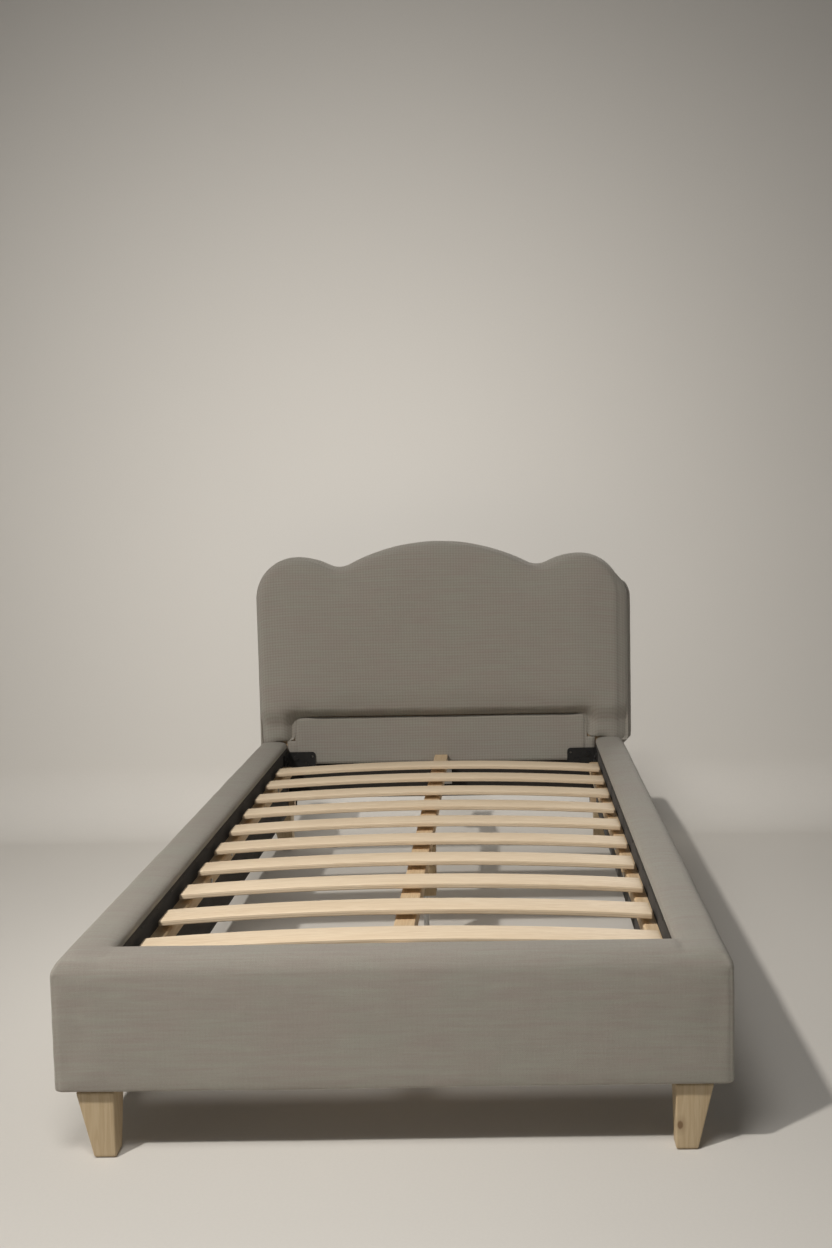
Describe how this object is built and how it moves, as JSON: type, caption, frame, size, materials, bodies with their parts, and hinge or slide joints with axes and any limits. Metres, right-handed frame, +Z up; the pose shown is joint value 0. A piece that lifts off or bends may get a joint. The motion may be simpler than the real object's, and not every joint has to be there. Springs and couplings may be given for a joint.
{
  "type": "toddler bed",
  "caption": "Low upholstered toddler bed with padded box rails, a scalloped padded headboard, lift-out bowed slats and tapered wooden legs.",
  "frame": {"origin": "on the floor under the middle of the bed's overall box", "axes": "+Y along the bed to the headboard, +X to the right seen from the foot end, +Z up"},
  "size_m": [0.85, 1.556, 0.718],
  "materials": {
    "linen_fabric": "plain slub weave, matt",
    "dark_lining": "non-woven, matt",
    "slat_wood": "raw bent plywood with a pale face veneer",
    "pine": "planed pine, clear matt",
    "plywood": "raw board",
    "black_steel": "black powder coat, satin",
    "zinc_steel": "zinc plated",
    "black_plastic": "moulded, matt"
  },
  "bodies": {
    "bed_frame": {"footboard_outer_board": "plywood", "footboard_inner_board": "plywood", "footboard_battens": "pine", "footboard_pad": "linen_fabric", "footboard_lining": "dark_lining", "left_rail_outer_board": "plywood", "left_rail_inner_board": "plywood", "left_rail_battens": "pine", "left_rail_pad": "linen_fabric", "left_rail_lining": "dark_lining", "left_ledger": "pine", "right_rail_outer_board": "plywood", "right_rail_inner_board": "plywood", "right_rail_battens": "pine", "right_rail_pad": "linen_fabric", "right_rail_lining": "dark_lining", "right_ledger": "pine", "ledger_screws": "zinc_steel", "headboard_board": "plywood", "headboard_left_strut": "pine", "headboard_right_strut": "pine", "headboard_front_pad": "linen_fabric", "headboard_side_band": "linen_fabric", "headboard_lower_panel": "linen_fabric", "headboard_lining": "dark_lining", "headboard_back_cover": "dark_lining", "centre_rail": "pine", "centre_rail_head_bracket": "black_steel", "centre_rail_foot_bracket": "black_steel", "centre_leg_block": "pine", "head_left_bracket": "black_steel", "head_right_bracket": "black_steel", "foot_left_bracket": "black_steel", "foot_right_bracket": "black_steel", "bracket_bolts": "black_steel", "foot_left_leg": "pine", "foot_right_leg": "pine", "head_left_leg": "pine", "head_right_leg": "pine", "leg_plates": "zinc_steel", "leg_bolts": "zinc_steel", "leg_glides": "black_plastic"},
    "slat_01": {"slat_01": "slat_wood"},
    "slat_02": {"slat_02": "slat_wood"},
    "slat_03": {"slat_03": "slat_wood"},
    "slat_04": {"slat_04": "slat_wood"},
    "slat_05": {"slat_05": "slat_wood"},
    "slat_06": {"slat_06": "slat_wood"},
    "slat_07": {"slat_07": "slat_wood"},
    "slat_08": {"slat_08": "slat_wood"},
    "slat_09": {"slat_09": "slat_wood"},
    "slat_10": {"slat_10": "slat_wood"},
    "levelling_foot": {"centre_leg_screw": "zinc_steel", "centre_leg_pad": "black_plastic"}
  },
  "joints": [
    {"name": "slat_01_lift", "type": "slide", "parent": "bed_frame", "child": "slat_01", "axis": [0, 0, 1], "range_m": [0, 0.06]},
    {"name": "slat_02_lift", "type": "slide", "parent": "bed_frame", "child": "slat_02", "axis": [0, 0, 1], "range_m": [0, 0.06]},
    {"name": "slat_03_lift", "type": "slide", "parent": "bed_frame", "child": "slat_03", "axis": [0, 0, 1], "range_m": [0, 0.06]},
    {"name": "slat_04_lift", "type": "slide", "parent": "bed_frame", "child": "slat_04", "axis": [0, 0, 1], "range_m": [0, 0.06]},
    {"name": "slat_05_lift", "type": "slide", "parent": "bed_frame", "child": "slat_05", "axis": [0, 0, 1], "range_m": [0, 0.06]},
    {"name": "slat_06_lift", "type": "slide", "parent": "bed_frame", "child": "slat_06", "axis": [0, 0, 1], "range_m": [0, 0.06]},
    {"name": "slat_07_lift", "type": "slide", "parent": "bed_frame", "child": "slat_07", "axis": [0, 0, 1], "range_m": [0, 0.06]},
    {"name": "slat_08_lift", "type": "slide", "parent": "bed_frame", "child": "slat_08", "axis": [0, 0, 1], "range_m": [0, 0.06]},
    {"name": "slat_09_lift", "type": "slide", "parent": "bed_frame", "child": "slat_09", "axis": [0, 0, 1], "range_m": [0, 0.06]},
    {"name": "slat_10_lift", "type": "slide", "parent": "bed_frame", "child": "slat_10", "axis": [0, 0, 1], "range_m": [0, 0.06]},
    {"name": "levelling_screw", "type": "slide", "parent": "bed_frame", "child": "levelling_foot", "axis": [0, 0, 1], "range_m": [0, 0.012]}
  ]
}
